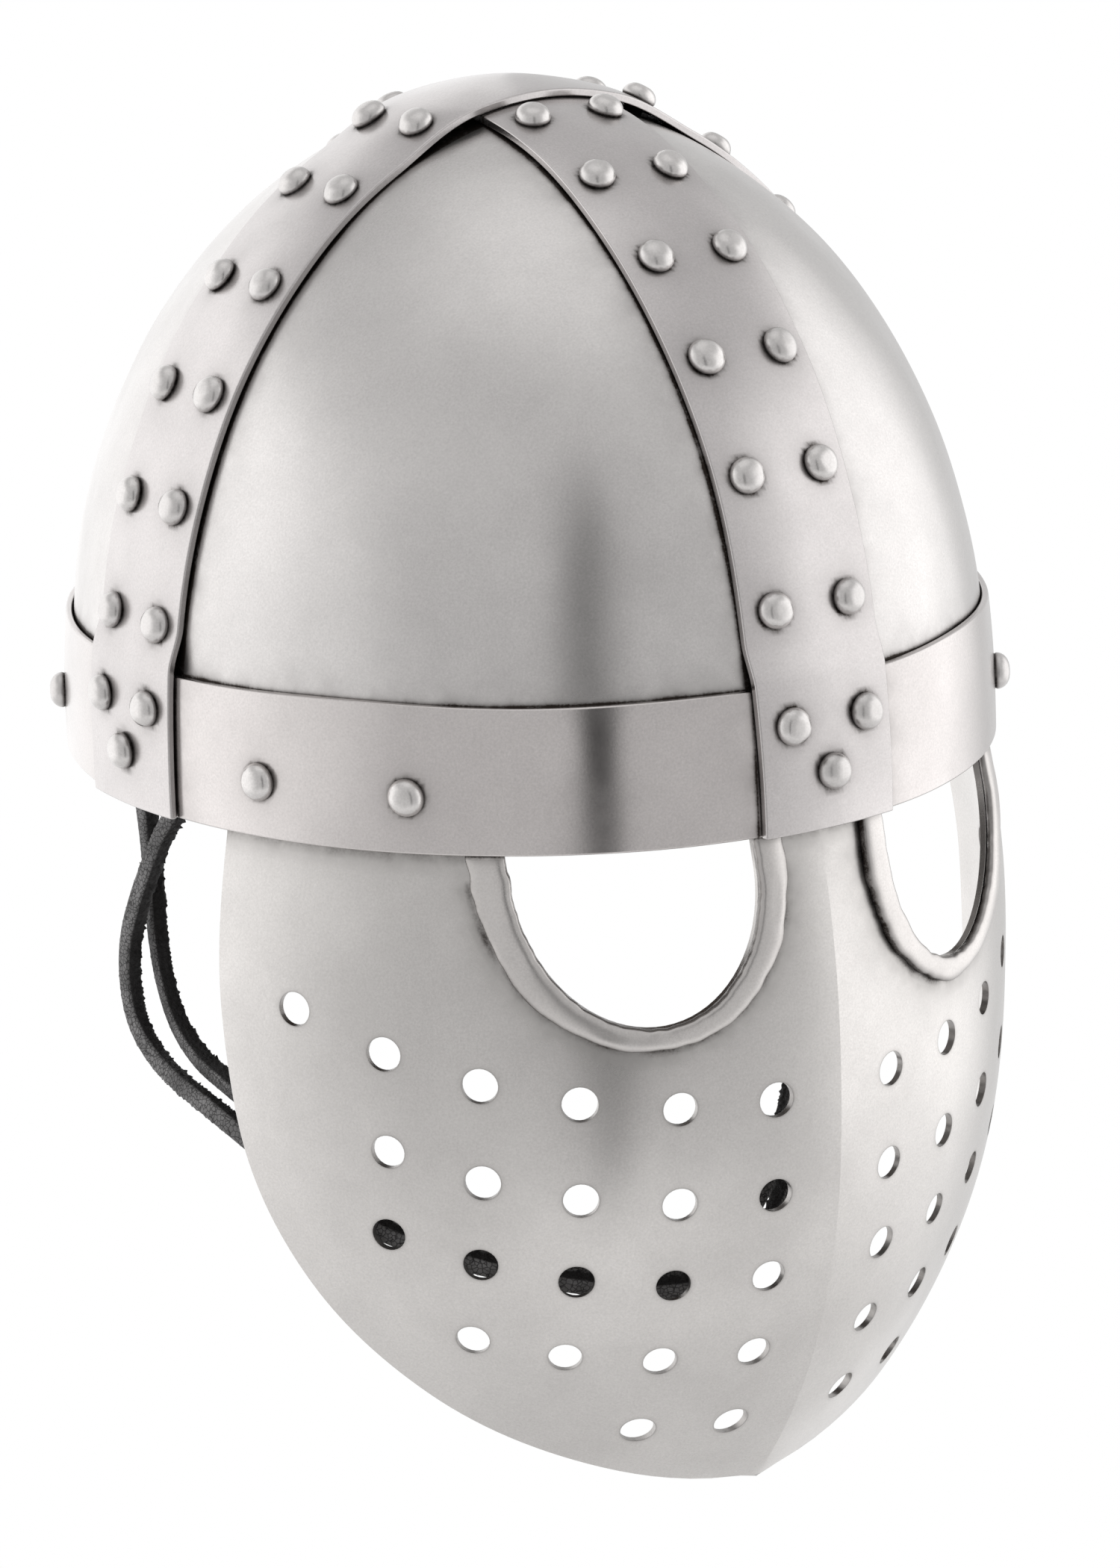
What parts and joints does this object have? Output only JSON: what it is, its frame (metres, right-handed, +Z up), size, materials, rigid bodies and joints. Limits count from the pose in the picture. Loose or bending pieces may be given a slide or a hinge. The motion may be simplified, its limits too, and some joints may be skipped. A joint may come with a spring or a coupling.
{
  "type": "knight helmet",
  "caption": "Riveted four-plate knight helmet with crossing bands, a brow band, a keeled perforated face plate with rimmed eye openings, a leather liner and a thong chin strap.",
  "frame": {"origin": "centre of the opening at the brow band's lower edge, where a head holds the helmet", "axes": "+Z up, the face looks along -Y, +X is the wearer's left"},
  "size_m": [0.2278, 0.2484, 0.3179],
  "materials": {
    "skull_steel": "satin, antiqued",
    "band_steel": "satin, antiqued, dark raw edges",
    "plate_steel": "satin, antiqued",
    "rim_steel": "satin, hammered edge",
    "rivet_steel": "polished domes, dark round the foot",
    "washer_steel": "plain",
    "liner_leather": "dark brown, waxed",
    "lace_leather": "dark, plain",
    "tab_leather": "black",
    "thong_leather": "black, grain worn grey, fuzzy cut sides"
  },
  "bodies": {
    "helmet": {"skull_front_right": "skull_steel", "skull_front_left": "skull_steel", "skull_rear_right": "skull_steel", "skull_rear_left": "skull_steel", "brow_band": "band_steel", "front_back_band": "band_steel", "transverse_band": "band_steel", "face_plate": "plate_steel", "eye_rim_right": "rim_steel", "eye_rim_left": "rim_steel", "front_band_rivets": "rivet_steel", "back_band_rivets": "rivet_steel", "right_band_rivets": "rivet_steel", "left_band_rivets": "rivet_steel", "face_plate_rivets": "rivet_steel", "rear_brow_rivets": "rivet_steel", "ear_rivets": "rivet_steel", "plate_packing_washers": "washer_steel", "liner_washers": "washer_steel", "ear_spacers": "washer_steel", "ear_washers": "washer_steel", "liner_band": "liner_leather", "liner_petal_1": "liner_leather", "liner_petal_2": "liner_leather", "liner_petal_3": "liner_leather", "liner_petal_4": "liner_leather", "liner_petal_5": "liner_leather", "liner_petal_6": "liner_leather", "liner_petal_7": "liner_leather", "liner_petal_8": "liner_leather", "crown_lace": "lace_leather"},
    "chin_strap": {"strap_tab_right": "tab_leather", "strap_tab_left": "tab_leather", "chin_thong_front": "thong_leather", "chin_thong_rear": "thong_leather"}
  },
  "joints": [
    {"name": "strap_swing", "type": "hinge", "parent": "helmet", "child": "chin_strap", "pos_m": [0, 0, 0.013], "axis": [1, 0, 0], "range_deg": [0, 35]}
  ]
}
